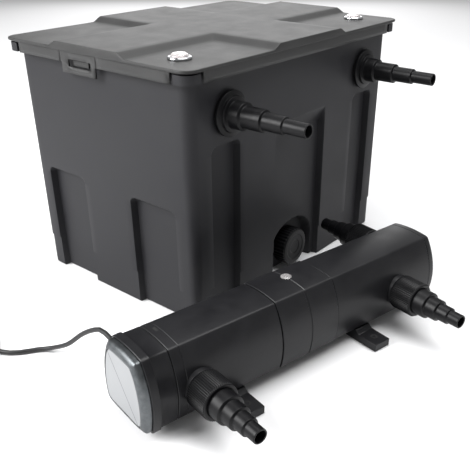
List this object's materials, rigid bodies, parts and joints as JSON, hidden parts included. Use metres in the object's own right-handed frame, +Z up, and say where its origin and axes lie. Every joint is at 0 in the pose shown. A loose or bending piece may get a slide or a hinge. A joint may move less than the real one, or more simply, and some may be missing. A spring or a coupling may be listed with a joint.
{
  "type": "pond filter",
  "caption": "Garden pond filter box with a lift-off lid, stepped hose tails and foam chambers, and a separate tube-shaped ultraviolet clarifier with hose unions, lying in front on its cord.",
  "frame": {"origin": "centre of the tank's flat underside, on the floor", "axes": "+Z up, -Y the side with the hose tails and the drain, +X to the right when that side is faced; the clarifier lies in front of it, its tube turned 12.3 degrees about Z"},
  "size_m": [0.8646, 0.7211, 0.4095],
  "materials": {
    "tub_plastic": "satin moulded",
    "lid_plastic": "fine grain",
    "fitting_plastic": "satin",
    "uv_plastic": "satin",
    "seal_rubber": "matte",
    "chrome_trim": "polished",
    "silver_trim": "metallised",
    "badge_white": "smooth",
    "clear_plastic": "clear",
    "quartz_glass": "clear",
    "lamp_glass": "clear",
    "dial_plastic": "smooth",
    "inner_plastic": "moulded",
    "foam_blue": "open-cell",
    "foam_green": "open-cell",
    "foam_black": "open-cell",
    "media_net": "knitted net",
    "lamp_base": "smooth",
    "cord_rubber": "matte",
    "plug_plastic": "satin"
  },
  "bodies": {
    "filter": {"tank_shell": "tub_plastic", "inlet_tail": "fitting_plastic", "inlet_gasket": "seal_rubber", "outlet_tail": "fitting_plastic", "outlet_gasket": "seal_rubber", "drain_spigot": "fitting_plastic", "partition_inlet": "inner_plastic", "partition_outlet": "inner_plastic", "inlet_elbow": "inner_plastic", "outlet_strainer": "inner_plastic", "foam_coarse": "foam_blue", "foam_medium": "foam_green", "foam_fine": "foam_black", "media_grid": "inner_plastic", "media_bag_lower": "media_net", "media_bag_upper": "media_net", "lamp_head": "uv_plastic", "end_bezel": "silver_trim", "badge_plate": "badge_white", "cable_gland": "fitting_plastic", "ballast": "inner_plastic", "lamp_holder": "lamp_base", "uv_lamp": "lamp_glass", "quartz_sleeve": "quartz_glass", "sleeve_seal": "seal_rubber", "housing_front": "uv_plastic", "housing_seal": "seal_rubber", "coupling_collar": "uv_plastic", "sight_port_lens": "clear_plastic", "housing_rear": "uv_plastic", "foot_left": "uv_plastic", "foot_right": "uv_plastic", "hose_tail_inlet": "fitting_plastic", "hose_tail_outlet": "fitting_plastic", "hose_tail_return": "fitting_plastic", "power_cable": "cord_rubber", "cable_coil": "cord_rubber", "cable_tie": "cord_rubber", "mains_plug": "plug_plastic"},
    "lid": {"lid_shell": "lid_plastic", "sight_bezel_near": "chrome_trim", "sight_lens_near": "clear_plastic", "sight_bezel_far": "chrome_trim", "sight_lens_far": "clear_plastic", "thermometer_dial": "dial_plastic"},
    "float": {"float_disc": "dial_plastic"},
    "drain_cap_body": {"drain_cap": "fitting_plastic"},
    "drain_nut": {"drain_lock_nut": "fitting_plastic"},
    "inlet_nut": {"inlet_lock_nut": "fitting_plastic"},
    "outlet_nut": {"outlet_lock_nut": "fitting_plastic"},
    "inlet_union": {"union_nut_inlet": "fitting_plastic"},
    "outlet_union": {"union_nut_outlet": "fitting_plastic"},
    "return_union": {"union_nut_return": "fitting_plastic"},
    "end_plug_body": {"end_plug": "fitting_plastic"},
    "sleeve_nut_body": {"sleeve_nut": "inner_plastic"}
  },
  "joints": [
    {"name": "lid_lift", "type": "slide", "parent": "filter", "child": "lid", "axis": [0, 0, 1], "range_m": [0, 0.12]},
    {"name": "float_rise", "type": "slide", "parent": "lid", "child": "float", "axis": [0, 0, 1], "range_m": [0, 0.003]},
    {"name": "drain_cap_body_spin", "type": "hinge", "parent": "filter", "child": "drain_cap_body", "pos_m": [0, -0.165, 0.041], "axis": [0, -1, 0], "continuous": true},
    {"name": "drain_nut_spin", "type": "hinge", "parent": "filter", "child": "drain_nut", "pos_m": [0, -0.144, 0.041], "axis": [0, -1, 0], "continuous": true},
    {"name": "inlet_nut_spin", "type": "hinge", "parent": "filter", "child": "inlet_nut", "pos_m": [-0.18, -0.173, 0.325], "axis": [0, -1, 0], "continuous": true},
    {"name": "outlet_nut_spin", "type": "hinge", "parent": "filter", "child": "outlet_nut", "pos_m": [0.18, -0.173, 0.325], "axis": [0, -1, 0], "continuous": true},
    {"name": "inlet_union_spin", "type": "hinge", "parent": "filter", "child": "inlet_union", "pos_m": [-0.40914, -0.35089, 0.058], "axis": [-0.213, -0.977, 0], "continuous": true},
    {"name": "outlet_union_spin", "type": "hinge", "parent": "filter", "child": "outlet_union", "pos_m": [-0.05057, -0.42908, 0.058], "axis": [-0.213, -0.977, 0], "continuous": true},
    {"name": "return_union_spin", "type": "hinge", "parent": "filter", "child": "return_union", "pos_m": [0.03512, -0.29424, 0.074], "axis": [0.213, 0.977, 0], "continuous": true},
    {"name": "end_plug_body_spin", "type": "hinge", "parent": "filter", "child": "end_plug_body", "pos_m": [0.05432, -0.37518, 0.064], "axis": [0.977, -0.213, 0], "continuous": true},
    {"name": "sleeve_nut_body_spin", "type": "hinge", "parent": "filter", "child": "sleeve_nut_body", "pos_m": [-0.4215, -0.27144, 0.064], "axis": [0.977, -0.213, 0], "continuous": true}
  ]
}
